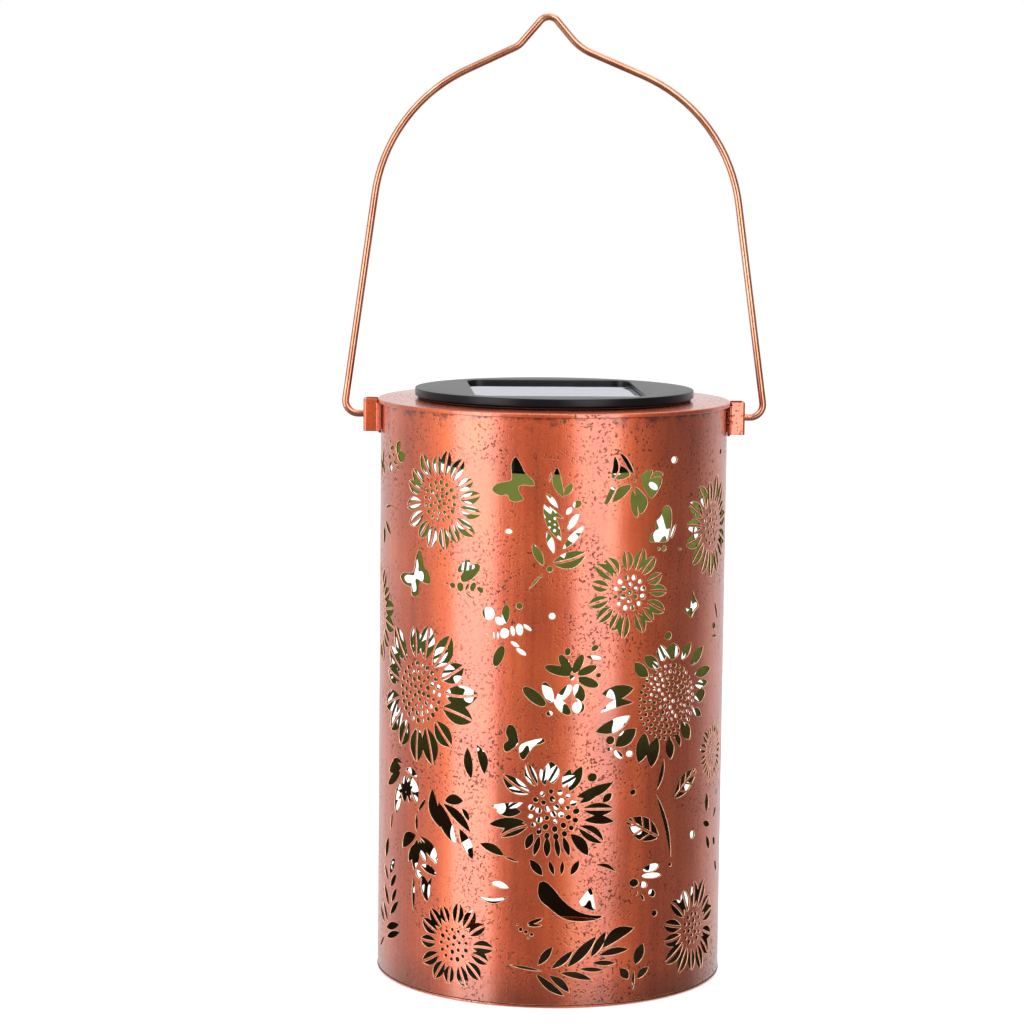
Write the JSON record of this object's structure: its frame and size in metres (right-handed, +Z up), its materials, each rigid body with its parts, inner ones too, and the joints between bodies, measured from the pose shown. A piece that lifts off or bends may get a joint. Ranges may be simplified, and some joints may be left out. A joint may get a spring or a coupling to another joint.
{
  "type": "solar garden light",
  "caption": "Pierced copper-coloured drum lantern with a swinging wire handle and a lift-out solar lid holding cell, lamp and switch.",
  "frame": {"origin": "centre of the base plate's underside", "axes": "+Z up along the drum's axis, front towards -Y, handle pivots on an axis along X"},
  "size_m": [0.1334, 0.1098, 0.3008],
  "materials": {
    "copper_sheet": "satin antique copper coat, darker in the pits",
    "copper_wire": "satin antique copper coat",
    "rubber": "matte",
    "black_abs": "fine moulded grain",
    "clear_cover": "clear glossy resin",
    "panel_board": "satin",
    "silicon": "dark blue cells with fine lines",
    "foam_pad": "foam",
    "cell_sleeve": "shrink sleeve",
    "nickel": "bright plate",
    "circuit_board": "solder mask",
    "ferrite": "matte",
    "led_resin": "clear warm resin",
    "zinc_steel": "zinc plate",
    "red_wire": "satin",
    "black_wire": "satin"
  },
  "bodies": {
    "lantern_body": {"pierced_shell": "copper_sheet", "seam_strip": "copper_sheet", "top_ring": "copper_sheet", "base_plate": "copper_sheet", "ear_left": "copper_sheet", "ear_right": "copper_sheet"},
    "bail": {"bail_handle": "copper_wire"},
    "lid_seal": {"seal_ring": "rubber"},
    "solar_lid": {"cap_housing": "black_abs", "lower_housing": "black_abs", "panel_cover": "clear_cover", "solar_panel": "panel_board", "solar_cell_1": "silicon", "solar_cell_2": "silicon", "solar_cell_3": "silicon", "solar_cell_4": "silicon", "adhesive_front": "foam_pad", "adhesive_rear": "foam_pad", "battery": "cell_sleeve", "contact_positive": "nickel", "contact_negative": "nickel", "contact_spring": "nickel", "switch_case": "nickel", "circuit_board": "circuit_board", "inductor": "ferrite", "driver_chip": "ferrite", "led": "led_resin", "led_lens": "clear_cover", "housing_screw_1": "zinc_steel", "housing_screw_2": "zinc_steel", "housing_screw_3": "zinc_steel", "housing_screw_4": "zinc_steel", "panel_lead_red": "red_wire", "panel_lead_black": "black_wire", "battery_lead_red": "red_wire", "battery_lead_black": "black_wire"},
    "switch_knob": {"switch_slider": "black_abs"},
    "cell_door": {"battery_door": "black_abs"}
  },
  "joints": [
    {"name": "bail_swing", "type": "hinge", "parent": "lantern_body", "child": "bail", "pos_m": [0, 0, 0.1749], "axis": [1, 0, 0], "range_deg": [-150, 150]},
    {"name": "solar_lid_lift", "type": "slide", "parent": "lantern_body", "child": "lid_seal", "axis": [0, 0, 1], "range_m": [0, 0.065]},
    {"name": "solar_lid_twist", "type": "hinge", "parent": "lid_seal", "child": "solar_lid", "pos_m": [0, 0, 0.181], "axis": [0, 0, -1], "range_deg": [0, 25]},
    {"name": "switch_slide", "type": "slide", "parent": "solar_lid", "child": "switch_knob", "axis": [1, 0, 0], "range_m": [0, 0.002]},
    {"name": "battery_door_hinge", "type": "hinge", "parent": "solar_lid", "child": "cell_door", "pos_m": [0, -0.0211, 0.16], "axis": [-1, 0, 0], "range_deg": [0, 75]}
  ]
}
